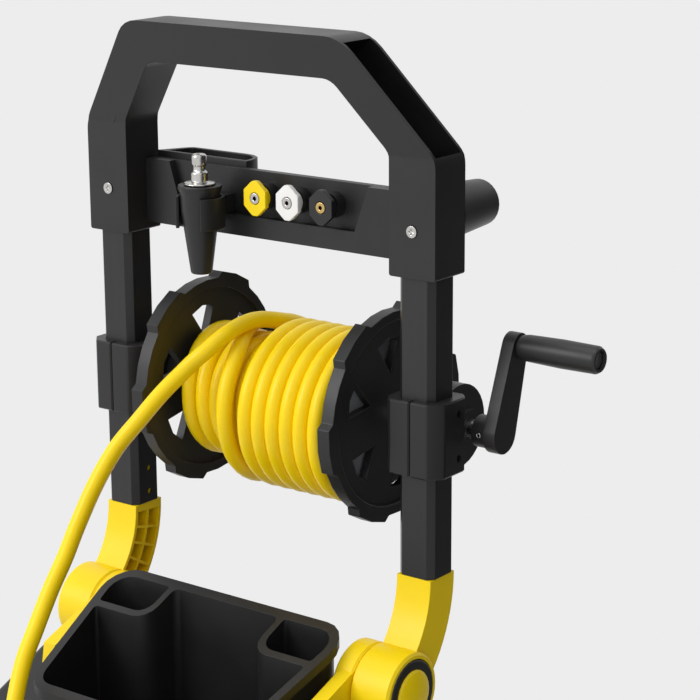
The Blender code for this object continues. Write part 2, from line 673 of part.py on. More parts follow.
# Free run of the hose, in millimetres from the foot of the posts
HOSE_ROUTE = [
    (-32.9, -14.8, 170.3), (-36.5, -25.3, 164.5), (-42, -33.2, 157), (-49.3, -39.8, 148.8),
    (-55.3, -47.2, 140), (-61, -57, 130.5), (-66.5, -67, 120), (-73, -79, 106),
    (-85, -96, 83), (-92, -114, 56), (-96, -132, 26), (-95, -150, 2), (-96, -166, -20),
    (-97, -185, -50), (-95, -201, -71), (-88, -219, -97), (-84, -231, -130),
    (-84, -238, -175), (-87, -243, -230), (-91, -248, -290), (-95, -253, -345),
    (-98, -261, -390), (-97, -280, -428), (-86, -305, -452), (-62, -325, -462.0),
    (-30, -337, -462.6), (8, -343, -462.6), (48, -340, -462.6), (86, -328, -462.6),
    (118, -310, -462.6)]


def smooth_line(points, spacing):
    """Points a given distance apart along a smooth curve through the given ones."""
    chain = [2 * points[0] - points[1], *points, 2 * points[-1] - points[-2]]
    dense = []
    for a, b, c, d in zip(chain, chain[1:], chain[2:], chain[3:]):
        for k in range(24):
            t = k / 24
            dense.append(0.5 * (2 * b + (c - a) * t + (2 * a - 5 * b + 4 * c - d) * t ** 2
                                + (3 * b - a - 3 * c + d) * t ** 3))
    dense.append(points[-1])
    total = sum((b - a).length for a, b in zip(dense, dense[1:]))
    count = round(total / spacing)
    picked, run, target = [dense[0]], 0.0, total / count
    for a, b in zip(dense, dense[1:]):
        step = (b - a).length
        while step and run + step >= target * len(picked) - 1e-9 and len(picked) < count:
            picked.append(a.lerp(b, (target * len(picked) - run) / step))
        run += step
    picked.append(dense[-1])
    return picked


def hose_run():
    route = [Vector((x, y, z)) * MM + Vector((0, 0, FOOT_Z)) for x, y, z in HOSE_ROUTE]
    curve = bpy.data.curves.new("hose_run", "CURVE")
    curve.dimensions = "3D"
    curve.bevel_depth = HOSE_D / 2
    curve.bevel_resolution = 3
    curve.use_fill_caps = True
    curve.render_resolution_u = 0
    line = smooth_line(route, 2.0 * HOSE_D)
    spline = curve.splines.new("POLY")
    spline.points.add(len(line) - 1)
    for point, place in zip(spline.points, line):
        point.co = (*place, 1)
    drawn = add("hose_line", curve)
    bm = bmesh.new()
    bm.from_mesh(evaluated_mesh(drawn))
    bmesh.ops.remove_doubles(bm, verts=bm.verts, dist=0.00001)
    bpy.data.objects.remove(drawn, do_unlink=True)
    finish(from_bmesh("hose_run", bm), "yellow_hose", FRAME)
    hose_connector(line[-1], (line[-1] - line[-2]).normalized())


def hose_connector(end, direction):
    """Screw coupling on the hose's free end, lying on the floor."""
    coupling = turned("hose_connector", "Z", (0, 0, 0), [
        (2.5 * MM, 0), (8.0 * MM, 0), (8.0 * MM, 22 * MM), (7.0 * MM, 23 * MM),
        (7.0 * MM, 44 * MM), (2.5 * MM, 44 * MM)], sides=24)
    turn = Vector((0, 0, 1)).rotation_difference(direction).to_matrix().to_4x4()
    lift = Vector((0, 0, 0.9 * MM))
    coupling.data.transform(Matrix.Translation(end + direction * GAP + lift) @ turn)
    return finish(coupling, "bright_steel", FRAME)


# ---------------------------------------------------------------- arms and fold hubs

def arm():
    """Right yellow arm: a curved box section from the post down to the fold hub."""
    centre = (-ARM_CURVE, FOOT_Z)
    half = POST_HALF[1]
    outline = arc(centre, ARM_CURVE + half, 0, -58.7, 14)
    outline += arc(centre, ARM_CURVE - half, -58.7, 0, 10)
    piece = plate("arm_right", "YZ", outline, ARM_IN, ARM_OUT)
    bevel(piece, 4.5 * MM, segments=1, angle=60)
    pocket = arc(centre, ARM_CURVE + half - 3 * MM, -4, -40, 8)
    pocket += arc(centre, ARM_CURVE - half + 3 * MM, -40, -4, 8)
    cut(piece, plate("pocket", "YZ", pocket, ARM_IN - 2 * MM, ARM_IN + 22 * MM))
    rib = arc(centre, ARM_CURVE + 1 * MM, -2, -44, 8) + arc(centre, ARM_CURVE - 1 * MM, -44, -2, 8)
    join(piece, plate("rib", "YZ", rib, ARM_IN + 0.5 * MM, ARM_IN + 24 * MM))
    for angle in (-13, -22, -31):
        spoke = arc(centre, ARM_CURVE + half - 2 * MM, angle - 0.6, angle + 0.6, 1)
        spoke += arc(centre, ARM_CURVE - half + 2 * MM, angle + 0.7, angle - 0.7, 1)
        join(piece, plate("spoke", "YZ", spoke, ARM_IN + 0.5 * MM, ARM_IN + 24 * MM))
    knuckle = cylinder("knuckle", "X", (ARM_IN, HUB_Y, HUB_Z), HUB_OUT - ARM_IN, HUB_R, sides=36)
    join(piece, bevel(knuckle, 2 * MM, segments=1))
    spigot = post_column("spigot", POST_X, -POST_WALL - GAP, FOOT_Z - 4 * MM, FOOT_Z + 42 * MM)
    join(piece, spigot)
    pin = cylinder("pin", "X", (ARM_IN - 5 * MM, HUB_Y, HUB_Z), 70 * MM, 9 * MM + GAP, sides=20)
    face = cylinder("face", "X", (HUB_OUT - 7 * MM, HUB_Y, HUB_Z), 20 * MM, 28.5 * MM + GAP,
                    sides=32)
    return cut(piece, pin, face)


def knuckle():
    """Right body bracket: the fixed half of the fold hub, with its foot on the shoulder."""
    inside, outside = KNUCKLE_IN, ARM_IN - GAP
    piece = cylinder("knuckle_right", "X", (inside, HUB_Y, HUB_Z), outside - inside, HUB_R,
                     sides=36)
    bevel(piece, 1.5 * MM, segments=1)
    toe = HUB_Y - 91 * MM
    foot = [(HUB_Y - 24 * MM, HUB_Z + 20 * MM), (HUB_Y - 87 * MM, HUB_Z - 3 * MM),
            (toe, shoulder_z(toe) + 2 * GAP), (SHOULDER_BACK, shoulder_z(SHOULDER_BACK) + 2 * GAP),
            (HUB_Y - 24 * MM, HUB_Z - 30 * MM)]
    join(piece, plate("foot", "YZ", foot, inside + 4.5 * MM, outside))
    low = [(HUB_Y - 30 * MM, HUB_Z), (HUB_Y - 28 * MM, BODY_STEP_Z + GAP),
           (HUB_Y + 32 * MM, BODY_STEP_Z + GAP), (HUB_Y + 32 * MM, HUB_Z)]
    join(piece, plate("base", "YZ", low, inside + 4.5 * MM, outside))
    pin = cylinder("pin", "X", (inside + 6 * MM, HUB_Y, HUB_Z), 30 * MM, 9 * MM + GAP, sides=20)
    return cut(piece, pin)


PIN_INNER = KNUCKLE_IN + 6.5 * MM


def hinge_pin():
    """Right fold pin: a black ring flange in the hub's face on a stepped pin."""
    return turned("hinge_pin_right", "X", (0, HUB_Y, HUB_Z), [
        (9 * MM, PIN_INNER), (9 * MM, HUB_OUT - 6.7 * MM), (28.5 * MM, HUB_OUT - 6.7 * MM),
        (28.5 * MM, HUB_OUT - 1 * MM), (27 * MM, HUB_OUT + 1 * MM), (20.8 * MM, HUB_OUT + 1 * MM),
        (20.8 * MM, HUB_OUT - 4 * MM), (6 * MM, HUB_OUT - 4 * MM), (6 * MM, PIN_INNER)], sides=28)


def fold_button():
    """Right release button: a domed yellow cap in the ring."""
    return turned("fold_button_right", "X", (0, HUB_Y, HUB_Z), [
        (0, HUB_OUT + 6 * MM), (14 * MM, HUB_OUT + 5 * MM), (19.5 * MM, HUB_OUT + 2.5 * MM),
        (20.4 * MM, HUB_OUT + 1 * MM), (20.4 * MM, HUB_OUT - 0.2 * MM),
        (5.5 * MM, HUB_OUT - 0.2 * MM), (5.5 * MM, HUB_OUT - 16 * MM), (0, HUB_OUT - 16 * MM)],
        sides=24)


# ---------------------------------------------------------------- lower body

BODY_STEP_Z = HUB_Z - HUB_R - 5 * MM     # top of the body under the hubs
SHOULDER_BACK = -88 * MM                 # the shoulders rise in front of this


def shoulder_z(y):
    """Height of the body's sloping top at a place in front of the hubs."""
    return FOOT_Z - 89 * MM + BIN_SLOPE * (y - SHOULDER_BACK)


def rim_z(y):
    return BIN_RIM_Z + BIN_SLOPE * (y - BIN_BACK)


def body_outline(inset=0.0):
    """Side outline of the body, optionally moved inwards by the wall."""
    front, back = BODY_FRONT + inset, BODY_BACK - inset
    return [
        (front, BODY_FLOOR + inset), (back, BODY_FLOOR + inset), (back, BODY_STEP_Z - inset),
        (SHOULDER_BACK - inset, BODY_STEP_Z - inset),
        (SHOULDER_BACK - inset, shoulder_z(SHOULDER_BACK) - inset * 1.1),
        (front, shoulder_z(BODY_FRONT) - inset * 1.1)]


BODY_SPLIT = -70 * MM                    # the two shells meet at this plane
BIN_INSET = 5 * MM


def bin_half(y, inset=0.0):
    """Half width of the bin's rim at a place, moved inwards by inset."""
    share = (y - BIN_BACK) / (BIN_FRONT - BIN_BACK)
    return BIN_BACK_HALF + (BIN_FRONT_HALF - BIN_BACK_HALF) * share - inset


def bin_outline(inset, radius):
    back, front = BIN_BACK - inset, BIN_FRONT + inset
    right = [(bin_half(back, inset), back, radius), (bin_half(front, inset), front, radius)]
    return rounded(right + [(-x, y, r) for x, y, r in reversed(right)], steps=5)


def body_shells():
    """Front and back housings, hollow and open to each other, with the bin's opening."""
    wall = 3 * MM
    for name, low, high in (
            ("body_front", BODY_FRONT - 1 * MM, BODY_SPLIT - GAP / 2),
            ("body_back", BODY_SPLIT + GAP / 2, BODY_BACK + 1 * MM)):
        shell = plate(name, "YZ", body_outline(), -BODY_HALF, BODY_HALF)
        bevel(shell, 9 * MM, segments=2, angle=30)
        hollow = plate("hollow", "YZ", body_outline(wall), -BODY_HALF + wall, BODY_HALF - wall)
        opening = plate("opening", "XY", bin_outline(BIN_INSET - 0.6 * MM, 18 * MM),
                        BIN_FLOOR_Z - 2 * MM, FOOT_Z)
        cut(shell, opening, bevel(hollow, 6 * MM, segments=2, angle=30))
        keep = box("keep", (-0.3, low, 0), (0.3, high, 1))
        combine(shell, keep, "INTERSECT")
        if name == "body_back":
            axle_hole = cylinder("axle_hole", "X", (-0.2, AXLE_Y, WHEEL_R), 0.4, AXLE_R + GAP,
                                 sides=20)
            cut(shell, axle_hole)
        else:
            knob = cylinder("switch_hole", "Y", (SWITCH_X, BODY_FRONT - 10 * MM, SWITCH_Z),
                            20 * MM, 10 * MM, sides=20)
            cut(shell, knob)
        finish(shell, "satin_black_plastic", FRAME)


SWITCH_X, SWITCH_Z = 95 * MM, 300 * MM


def switch_knob(carrier):
    """Rotary on/off switch on the body's front."""
    knob = cylinder("power_switch", "Y", (SWITCH_X, BODY_FRONT - 8 * MM, SWITCH_Z),
                    7.5 * MM, 21 * MM, sides=24)
    bevel(knob, 1.5 * MM, segments=1)
    stem = cylinder("stem", "Y", (SWITCH_X, BODY_FRONT - 2 * MM, SWITCH_Z), 17 * MM, 9 * MM,
                    sides=16)
    ridge = box("ridge", (SWITCH_X - 4 * MM, SWITCH_FRONT, SWITCH_Z - 17 * MM),
                (SWITCH_X + 4 * MM, BODY_FRONT - 6 * MM, SWITCH_Z + 17 * MM))
    join(knob, stem, ridge)
    return finish(knob, "yellow_plastic", carrier)


def storage_bin():
    """Open bin with a thick sloping rim and a pocket in each back corner."""
    top = FOOT_Z + 10 * MM
    body = plate("storage_bin", "XY", bin_outline(BIN_INSET, 18 * MM), BIN_FLOOR_Z, top)
    rim = plate("rim", "XY", bin_outline(0, 24 * MM), FOOT_Z - 180 * MM, top)
    under = [(BIN_FRONT - 20 * MM, FOOT_Z - 200 * MM), (BIN_BACK + 20 * MM, FOOT_Z - 200 * MM),
             (BIN_BACK + 20 * MM, rim_z(BIN_BACK + 20 * MM) - 8 * MM),
             (BIN_FRONT - 20 * MM, rim_z(BIN_FRONT - 20 * MM) - 8 * MM)]
    cut(rim, plate("under", "YZ", under, -0.2, 0.2))
    join(body, rim)
    wall = 3 * MM
    inset = BIN_INSET + wall
    floor = BIN_FLOOR_Z + 3 * MM
    back, front = BIN_BACK - inset, BIN_FRONT + inset
    pocket_x, pocket_y = 58 * MM, -97 * MM
    cavity = [(pocket_x - wall, back, 6 * MM), (pocket_x - wall, pocket_y - wall, 16 * MM),
              (bin_half(pocket_y - wall, inset), pocket_y - wall, 3 * MM),
              (bin_half(front, inset), front, 14 * MM)]
    left = [(-x, y, r) for x, y, r in reversed(cavity)]
    cut(body, plate("cavity", "XY", rounded(cavity + left), floor, top + 5 * MM))
    for side in (1, -1):
        pocket = [(pocket_x + wall, back, 3 * MM), (bin_half(back, inset), back, 16 * MM),
                  (bin_half(pocket_y + wall, inset), pocket_y + wall, 3 * MM),
                  (pocket_x + wall, pocket_y + wall, 12 * MM)]
        outline = rounded([(side * x, y, r) for x, y, r in pocket])
        cut(body, plate("pocket", "XY", outline, floor, top + 5 * MM))
    over = [(BIN_FRONT - 20 * MM, rim_z(BIN_FRONT - 20 * MM)),
            (BIN_BACK + 20 * MM, rim_z(BIN_BACK + 20 * MM)),
            (BIN_BACK + 20 * MM, FOOT_Z + 60 * MM), (BIN_FRONT - 20 * MM, FOOT_Z + 60 * MM)]
    cut(body, plate("over", "YZ", over, -0.2, 0.2))
    return finish(body, "satin_black_plastic", FRAME)


def base_tray():
    """Base under the housings: a floor plate with an axle beam and two front pads."""
    top = BODY_FLOOR - GAP
    tray = box("base_tray", (-BODY_HALF + 10 * MM, BODY_FRONT + 8 * MM, 24 * MM),
               (BODY_HALF - 10 * MM, BODY_BACK - 4 * MM, top))
    bevel(tray, 3 * MM, segments=1)
    return finish(tray, "satin_black_plastic", FRAME)


def foot(name, side):
    """Rubber foot under a front corner."""
    x = side * (BODY_HALF - 40 * MM)
    pad = cylinder(name, "Z", (x, BODY_FRONT + 34 * MM, 0), 24 * MM - GAP, 19 * MM, 16 * MM,
                   sides=28)
    return finish(pad, "black_rubber", FRAME)


def axle():
    reach = WHEEL_X + WHEEL_W / 2 - 1 * MM
    rod = cylinder("axle", "X", (-reach, AXLE_Y, WHEEL_R), 2 * reach, AXLE_R, sides=16)
    for side in (1, -1):
        x = side * (BODY_HALF + 0.5 * MM)
        start = min(x, x + side * 1.5 * MM)
        join(rod, cylinder("collar", "X", (start, AXLE_Y, WHEEL_R), 1.5 * MM, 10 * MM, sides=16))
    return finish(rod, "bright_steel", FRAME)


def wheel(side_name, side):
    """Hard plastic rim with six openings, a rubber tyre with a stepped tread, and a cap."""
    carrier = group("wheel_" + side_name, (side * WHEEL_X, AXLE_Y, WHEEL_R), FRAME)
    half = WHEEL_W / 2
    place = (side * WHEEL_X, AXLE_Y, WHEEL_R)
    tyre = turned("tyre_" + side_name, "X", place, [
        (78 * MM, half - 3 * MM), (98 * MM, half - 1 * MM), (WHEEL_R - 1.5 * MM, half - 6 * MM),
        (WHEEL_R, half - 12 * MM), (WHEEL_R, 12 * MM - half), (WHEEL_R - 1.5 * MM, 6 * MM - half),
        (98 * MM, 1 * MM - half), (78 * MM, 3 * MM - half)], sides=40)
    finish(tyre, "black_rubber", carrier)
    rim = turned("rim_" + side_name, "X", place, [
        (77.7 * MM, half - 2 * MM), (77.7 * MM, 2 * MM - half), (72 * MM, 2 * MM - half),
        (72 * MM, -3 * MM), (18 * MM, -3 * MM), (18 * MM, 2 * MM - half),
        (AXLE_R + GAP, 2 * MM - half), (AXLE_R + GAP, half - 2 * MM), (18 * MM, half - 2 * MM),
        (22 * MM, 4 * MM), (72 * MM, 4 * MM), (72 * MM, half - 2 * MM)], sides=28)
    for k in range(6):
        angle = k * math.tau / 6
        spot = (side * WHEEL_X - 30 * MM, AXLE_Y + 47 * MM * math.cos(angle),
                WHEEL_R + 47 * MM * math.sin(angle))
        cut(rim, cylinder("opening", "X", spot, 60 * MM, 15 * MM, sides=12))
    finish(rim, "grey_plastic", carrier)
    outer = half + 6 * MM
    low, high = half - 1.7 * MM, outer
    points = [(0, high), (9 * MM, high - 1 * MM), (17 * MM, high - 4 * MM), (17 * MM, low),
              (AXLE_R + 1 * MM, low), (AXLE_R + 1 * MM, low + 1.5 * MM), (0, low + 1.5 * MM)]
    cap = turned("hubcap_" + side_name, "X", place, [(r, side * h) for r, h in points], sides=24)
    finish(cap, "yellow_plastic", carrier)


def inner_works():
    """Motor, pump and the fittings that come through the housings."""
    motor = cylinder("motor", "Z", (0, -95 * MM, 60 * MM), 105 * MM, 52 * MM, sides=32)
    bevel(motor, 4 * MM, segments=1)
    finish(motor, "grey_plastic", FRAME)
    pump = box("pump", (-38 * MM, -133 * MM, 165.5 * MM), (38 * MM, -57 * MM, 235 * MM))
    bevel(pump, 5 * MM, segments=1)
    for x in (-24 * MM, 0, 24 * MM):
        join(pump, cylinder("head", "Z", (x, -95 * MM, 230 * MM), 14 * MM, 9 * MM, sides=14))
    finish(pump, "bright_steel", FRAME)


def fitting(name, slot, x, z, radius, length):
    """A threaded stub through the back shell, with a square flange."""
    shell = bpy.data.objects["body_back"]
    hole = cylinder("hole", "Y", (x, BODY_BACK - 12 * MM, z), 30 * MM, radius + GAP, sides=24)
    combine(shell, hole, "DIFFERENCE")
    finish(shell, "satin_black_plastic", FRAME)
    stub = cylinder(name, "Y", (x, BODY_BACK - 20 * MM, z), 20 * MM + length, radius, sides=16)
    join(stub, cylinder("flange", "Y", (x, BODY_BACK + GAP, z), 3 * MM, radius + 5 * MM, sides=6))
    way = cylinder("way", "Y", (x, BODY_BACK - 30 * MM, z), 60 * MM + length, radius * 0.5, sides=10)
    return finish(cut(stub, way), slot, FRAME)


# ---------------------------------------------------------------- build

handle_grip()
cross_panel()
gun_rest()
lance_holder()
nozzle_clip()
clamps()
swivel_inlet()
for side_name, side in (("left", -1), ("right", 1)):
    post("post_" + side_name, side)
    handle_screw("handle_screw_" + side_name, side)
    flange("flange_" + side_name, side)
    foot("foot_" + side_name, side)
    wheel(side_name, side)

turbo_nozzle(group("turbo_nozzle", (TURBO_X, TURBO_Y, FOOT_Z + 293 * MM), HANDLE))
for colour, slot in (("yellow", "yellow_plastic"), ("white", "white_plastic"),
                     ("black", "satin_black_plastic")):
    nozzle_place = group("spray_nozzle_" + colour, (NOZZLE_X[colour], 0, NOZZLE_Z), HANDLE)
    spray_nozzle(colour, slot, NOZZLE_X[colour], nozzle_place)

drum()
shaft()
crank_arm()
crank_pins()
crank_grip()
hose_coil()
hose_run()

for maker, slot, carrier in ((arm, "yellow_plastic", HANDLE), (knuckle, "yellow_plastic", FRAME),
                             (hinge_pin, "satin_black_plastic", HANDLE),
                             (fold_button, "yellow_plastic", None)):
    right = maker()
    left = mirror(right.name.replace("right", "left"), right)
    for piece, side in ((right, 1), (left, -1)):
        holder = carrier or group(piece.name + "_push", (side * HUB_OUT, HUB_Y, HUB_Z), HANDLE)
        finish(piece, slot, holder)

body_shells()
storage_bin()
base_tray()
axle()
inner_works()
fitting("water_inlet", "brass", -70 * MM, 150 * MM, 9 * MM, 24 * MM)
fitting("hose_outlet", "brass", -70 * MM, 205 * MM, 8 * MM, 22 * MM)
fitting("cord_gland", "black_rubber", 80 * MM, 150 * MM, 6 * MM, 26 * MM)
switch_knob(group("power_switch_turn", (SWITCH_X, BODY_FRONT, SWITCH_Z), FRAME))

FRAME.location = FRAME_SHIFT
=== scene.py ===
"""Looks of the trolley with the cranked hose reel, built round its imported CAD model."""

import json
import math

import bmesh
import bpy
from mathutils import Matrix, Vector, noise


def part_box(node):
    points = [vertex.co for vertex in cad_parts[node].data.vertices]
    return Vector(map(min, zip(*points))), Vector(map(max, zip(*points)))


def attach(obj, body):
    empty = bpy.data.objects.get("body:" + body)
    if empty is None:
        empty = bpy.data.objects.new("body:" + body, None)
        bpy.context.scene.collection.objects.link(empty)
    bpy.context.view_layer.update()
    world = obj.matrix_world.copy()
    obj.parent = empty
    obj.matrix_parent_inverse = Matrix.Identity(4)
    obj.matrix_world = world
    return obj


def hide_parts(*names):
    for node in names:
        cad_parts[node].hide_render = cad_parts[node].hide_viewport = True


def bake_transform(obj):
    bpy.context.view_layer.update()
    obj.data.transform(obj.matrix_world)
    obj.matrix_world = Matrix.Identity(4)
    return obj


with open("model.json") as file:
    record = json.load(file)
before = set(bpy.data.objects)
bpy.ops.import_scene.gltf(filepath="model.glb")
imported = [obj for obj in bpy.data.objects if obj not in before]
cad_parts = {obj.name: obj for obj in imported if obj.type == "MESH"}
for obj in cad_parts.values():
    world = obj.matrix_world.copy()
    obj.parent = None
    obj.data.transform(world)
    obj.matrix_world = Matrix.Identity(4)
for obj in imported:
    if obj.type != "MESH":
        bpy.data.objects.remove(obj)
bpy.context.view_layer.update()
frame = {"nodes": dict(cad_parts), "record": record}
NODES = frame["nodes"]

MM = 0.001
POST_GAP = 0.3 * MM                     # the posts stand this far above the layout's origin
LEFT_POST, RIGHT_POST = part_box("post_left"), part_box("post_right")
# The layout's own origin: midway between the posts, at their lower ends
ORIGIN = Vector((
    (LEFT_POST[0].x + RIGHT_POST[1].x) / 2,
    (RIGHT_POST[0].y + RIGHT_POST[1].y) / 2,
    RIGHT_POST[0].z - POST_GAP))


def at(x, y, z):
    """A place given in millimetres from the layout's origin, in the row frame."""
    return ORIGIN + Vector((x, y, z)) * MM


# ---------------------------------------------------------------- camera

AZIMUTH, ELEVATION, ROLL = math.radians(36.99), math.radians(14.81), math.radians(-0.33)
CAMERA_PLACE = (1104.46, -1358.10, 620.26)
LENS, SENSOR = 114.0, 36                # millimetres
FARTHEST_SEEN = 60                      # metres


def make_camera():
    """A long lens from the right and a little above, looking left and down."""
    lens = bpy.data.cameras.new("camera")
    lens.lens = LENS
    lens.sensor_width = SENSOR
    lens.clip_end = FARTHEST_SEEN
    camera = bpy.data.objects.new("camera", lens)
    bpy.context.scene.collection.objects.link(camera)
    side = Vector((math.cos(AZIMUTH), math.sin(AZIMUTH), 0))
    look = Vector((-math.sin(AZIMUTH) * math.cos(ELEVATION),
                   math.cos(AZIMUTH) * math.cos(ELEVATION), -math.sin(ELEVATION)))
    rise = side.cross(look)
    right = side * math.cos(ROLL) + rise * math.sin(ROLL)
    up = rise * math.cos(ROLL) - side * math.sin(ROLL)
    turn = Matrix((right, up, -look)).transposed().to_4x4()
    camera.matrix_world = Matrix.Translation(at(*CAMERA_PLACE)) @ turn
    bpy.context.scene.camera = camera


make_camera()


# ---------------------------------------------------------------- materials

def shader_node(tree, kind, **values):
    """A new node; each value is set on the input of that name, or else on the node."""
    made = tree.nodes.new(kind)
    for name, value in values.items():
        if name in made.inputs:
            made.inputs[name].default_value = value
        else:
            setattr(made, name, value)
    return made


def surface(name, colour, roughness, metallic=0.0, spread=0.06, tint=0.0, tint_scale=30,
            grain=0.0, grain_scale=1800, wave=0.0, wave_scale=40, stretch=(1, 1, 1),
            subsurface=0.0, specular=0.5):
    """A procedural plastic, metal or rubber: colour drift, uneven gloss and a fine grain."""
    made = bpy.data.materials.new(name)
    made.use_nodes = True
    tree = made.node_tree
    shader = tree.nodes["Principled BSDF"]
    shader.inputs["Base Color"].default_value = (*colour, 1)
    shader.inputs["Metallic"].default_value = metallic
    shader.inputs["Roughness"].default_value = roughness
    shader.inputs["Specular IOR Level"].default_value = specular
    if subsurface:
        shader.inputs["Subsurface Weight"].default_value = subsurface
        shader.inputs["Subsurface Radius"].default_value = (0.004, 0.003, 0.001)
        shader.inputs["Subsurface Scale"].default_value = 0.6
    place = shader_node(tree, "ShaderNodeTexCoord")
    mapping = shader_node(tree, "ShaderNodeMapping", Scale=stretch)
    tree.links.new(place.outputs["Object"], mapping.inputs["Vector"])
    cloud = shader_node(tree, "ShaderNodeTexNoise", Scale=tint_scale, Detail=5.0)
    tree.links.new(mapping.outputs["Vector"], cloud.inputs["Vector"])
    gloss = shader_node(tree, "ShaderNodeMapRange")
    gloss.inputs["From Min"].default_value = 0.3
    gloss.inputs["From Max"].default_value = 0.7
    gloss.inputs["To Min"].default_value = max(0.02, roughness - spread)
    gloss.inputs["To Max"].default_value = min(1.0, roughness + spread)
    tree.links.new(cloud.outputs["Fac"], gloss.inputs["Value"])
    tree.links.new(gloss.outputs["Result"], shader.inputs["Roughness"])
    if tint:
        ramp = shader_node(tree, "ShaderNodeValToRGB")
        ramp.color_ramp.elements[0].position = 0.3
        ramp.color_ramp.elements[1].position = 0.7
        ramp.color_ramp.elements[0].color = (*(c * (1 - tint) for c in colour), 1)
        ramp.color_ramp.elements[1].color = (*(min(1, c * (1 + tint)) for c in colour), 1)
        tree.links.new(cloud.outputs["Fac"], ramp.inputs["Fac"])
        tree.links.new(ramp.outputs["Color"], shader.inputs["Base Color"])
    last = None
    if grain:
        fine = shader_node(tree, "ShaderNodeTexNoise", Scale=grain_scale, Detail=2.0)
        tree.links.new(mapping.outputs["Vector"], fine.inputs["Vector"])
        bump = shader_node(tree, "ShaderNodeBump", Strength=grain, Distance=0.0002)
        tree.links.new(fine.outputs["Fac"], bump.inputs["Height"])
        last = bump
    if wave:
        soft = shader_node(tree, "ShaderNodeTexNoise", Scale=wave_scale, Detail=1.0)
        tree.links.new(place.outputs["Object"], soft.inputs["Vector"])
        bump = shader_node(tree, "ShaderNodeBump", Strength=wave, Distance=0.002)
        tree.links.new(soft.outputs["Fac"], bump.inputs["Height"])
        if last:
            tree.links.new(last.outputs["Normal"], bump.inputs["Normal"])
        last = bump
    if last:
        tree.links.new(last.outputs["Normal"], shader.inputs["Normal"])
    return made


# Each of the part's material slots
LOOKS = {
    "satin_black_plastic": surface(
        "black_plastic", (0.013, 0.013, 0.0135), 0.42, spread=0.05, tint=0.12, tint_scale=18,
        grain=0.25, grain_scale=2200, wave=0.02, specular=0.45),
    "black_aluminium": surface(
        "anodised_aluminium", (0.014, 0.014, 0.015), 0.36, spread=0.05, tint=0.1,
        tint_scale=400, grain=0.12, grain_scale=900, stretch=(1, 1, 0.02)),
    "yellow_plastic": surface(
        "yellow_plastic", (0.93, 0.67, 0.002), 0.42, spread=0.05, tint=0.03, tint_scale=14,
        grain=0.12, grain_scale=2400, subsurface=0.05, specular=0.36),
    "yellow_hose": surface(
        "yellow_hose", (0.93, 0.66, 0.002), 0.36, spread=0.06, tint=0.03, tint_scale=22,
        grain=0.10, grain_scale=1400, wave=0.04, wave_scale=60, subsurface=0.08, specular=0.32),
    "bright_steel": surface(
        "turned_steel", (0.60, 0.59, 0.57), 0.24, metallic=1.0, spread=0.08, tint=0.08,
        tint_scale=120, grain=0.15, grain_scale=900),
    "white_plastic": surface(
        "white_plastic", (0.82, 0.81, 0.79), 0.4, spread=0.05, tint=0.03, grain=0.1),
    "grey_plastic": surface(
        "grey_plastic", (0.30, 0.31, 0.33), 0.5, spread=0.06, tint=0.06, grain=0.2),
    "grey_metal": surface(
        "cast_metal", (0.36, 0.36, 0.37), 0.5, metallic=1.0, spread=0.1, tint=0.1, grain=0.5,
        grain_scale=900),
    "black_rubber": surface(
        "black_rubber", (0.014, 0.014, 0.014), 0.75, spread=0.08, tint=0.2, grain=0.6,
        grain_scale=1200),
    "brass": surface(
        "turned_brass", (0.62, 0.43, 0.17), 0.28, metallic=1.0, spread=0.08, tint=0.08,
        tint_scale=120, grain=0.15, grain_scale=900),
}
SLOT_OF = {row["node"]: row["material_slot"] for row in frame["record"]["subparts"]}
BODY_OF = {
    node: body for body, nodes in frame["record"]["behaviour"]["bodies"].items()
    for node in nodes}


# ---------------------------------------------------------------- shared modelling

def link(name, data):
    """A new object in the scene."""
    made = bpy.data.objects.new(name, data)
    bpy.context.scene.collection.objects.link(made)
    return made


def evaluated(piece):
    """The piece's mesh as it stands, with its modifiers or its curve's bevel in it."""
    bpy.context.view_layer.update()
    graph = bpy.context.evaluated_depsgraph_get()
    return bpy.data.meshes.new_from_object(piece.evaluated_get(graph))


def apply_modifiers(piece):
    mesh = evaluated(piece)
    piece.modifiers.clear()
    piece.data = mesh


def paint(piece, node):
    """Give the piece the material of the CAD node that it stands for."""
    piece.data.materials.clear()
    piece.data.materials.append(LOOKS[SLOT_OF[node]])


def put_in_place(piece, node):
    """The piece moves with the CAD node's body and is seen instead of the node."""
    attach(piece, BODY_OF[node])
    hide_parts(node)


EDGE_WIDTH = 0.7 * MM
EDGE_SEGMENTS = 2
ROUNDED_FROM = math.radians(32)         # edges sharper than this are rounded
CREASED_FROM = math.radians(40)         # and after that, these still shade as creases
NEARLY_FLAT = math.radians(0.6)


def refined(node):
    """A finer copy of a CAD node's shape with rounded edges, in the node's place."""
    bm = bmesh.new()
    bm.from_mesh(NODES[node].data)
    bmesh.ops.remove_doubles(bm, verts=bm.verts, dist=1e-6)
    bmesh.ops.dissolve_limit(bm, angle_limit=NEARLY_FLAT, verts=bm.verts, edges=bm.edges)
    mesh = bpy.data.meshes.new(node + "_fine")
    bm.to_mesh(mesh)
    bm.free()
    piece = link(node + "_fine", mesh)
    rounding = piece.modifiers.new("edges", "BEVEL")
    rounding.width = EDGE_WIDTH
    rounding.segments = EDGE_SEGMENTS
    rounding.limit_method = "ANGLE"
    rounding.angle_limit = ROUNDED_FROM
    rounding.use_clamp_overlap = True
    apply_modifiers(piece)
    piece.data.shade_smooth()
    piece.data.set_sharp_from_angle(angle=CREASED_FROM)
    # Broad faces stay flat in shading beside the rounded edges
    flat = piece.modifiers.new("flat_faces", "WEIGHTED_NORMAL")
    flat.mode = "FACE_AREA_WITH_ANGLE"
    flat.weight = 90
    flat.keep_sharp = True
    apply_modifiers(piece)
    paint(piece, node)
    put_in_place(piece, node)


# ---------------------------------------------------------------- hose

